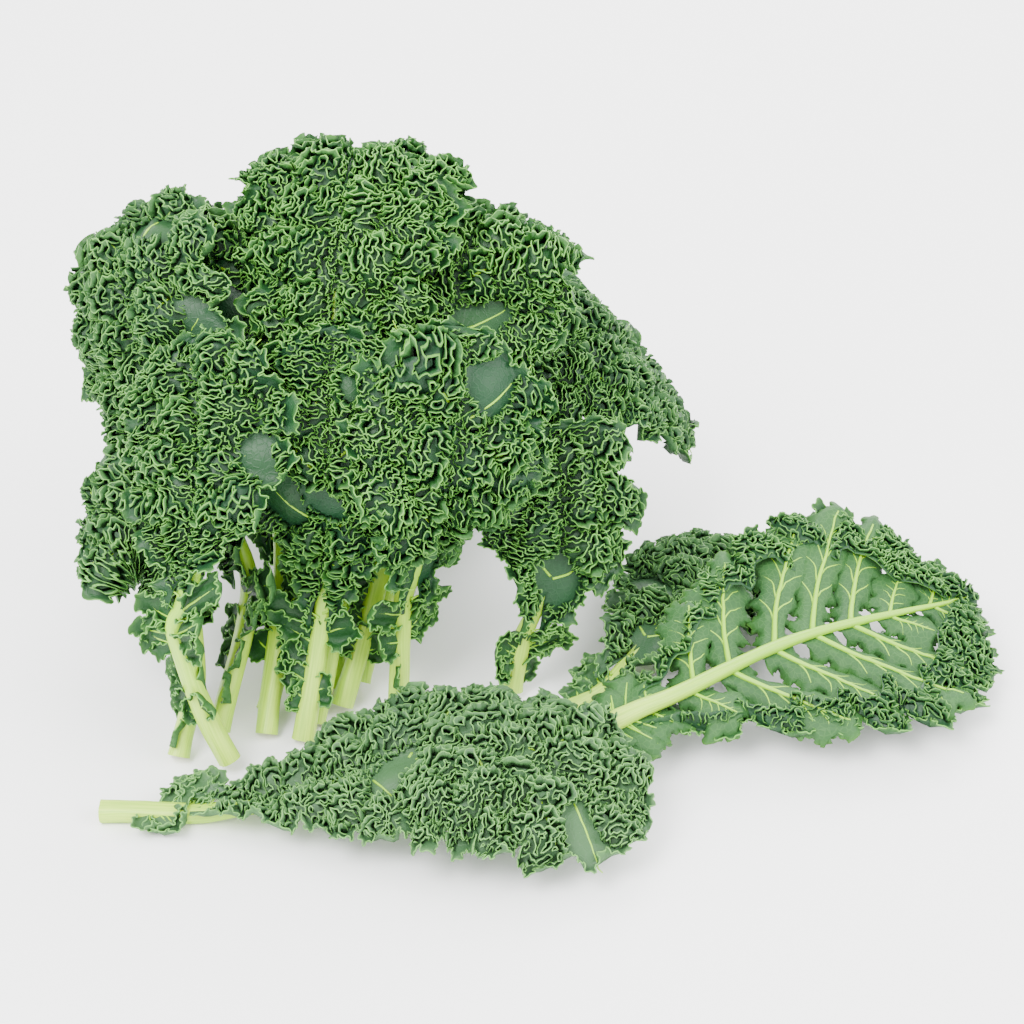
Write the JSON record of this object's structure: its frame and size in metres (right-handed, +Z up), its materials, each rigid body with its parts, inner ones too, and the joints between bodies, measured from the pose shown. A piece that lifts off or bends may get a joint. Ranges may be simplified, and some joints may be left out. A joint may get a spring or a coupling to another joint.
{
  "type": "bunch of curly kale",
  "caption": "Loose bunch of cut curly kale leaves heaped on a table, with ruffled dark green blades on pale green stems.",
  "frame": {"origin": "centre of the bunch's footprint on the table, at the level of its lowest points", "axes": "+X to the right along the bunch's longest extent, +Y away from the side the stems' cut ends face, +Z up"},
  "size_m": [0.6378, 0.5138, 0.3359],
  "materials": {
    "curly_blade": "satin",
    "pale_stem": "satin"
  },
  "bodies": {
    "root": {"leaf_back_middle": "curly_blade", "leaf_back_left": "curly_blade", "leaf_back_right": "curly_blade", "leaf_top_left": "curly_blade", "leaf_top_right": "curly_blade", "leaf_top_middle": "curly_blade", "leaf_left_high": "curly_blade", "leaf_left_low": "curly_blade", "leaf_right_side": "curly_blade", "leaf_front_middle": "curly_blade", "leaf_front_left": "curly_blade", "leaf_front_right": "curly_blade", "leaf_floor_right": "curly_blade", "leaf_turned_over": "curly_blade", "leaf_front_flat": "curly_blade", "stem_back_middle": "pale_stem", "stem_back_left": "pale_stem", "stem_back_right": "pale_stem", "stem_top_left": "pale_stem", "stem_top_right": "pale_stem", "stem_top_middle": "pale_stem", "stem_left_high": "pale_stem", "stem_left_low": "pale_stem", "stem_right_side": "pale_stem", "stem_front_middle": "pale_stem", "stem_front_left": "pale_stem", "stem_front_right": "pale_stem", "stem_floor_right": "pale_stem", "stem_turned_over": "pale_stem", "stem_front_flat": "pale_stem"}
  },
  "joints": []
}
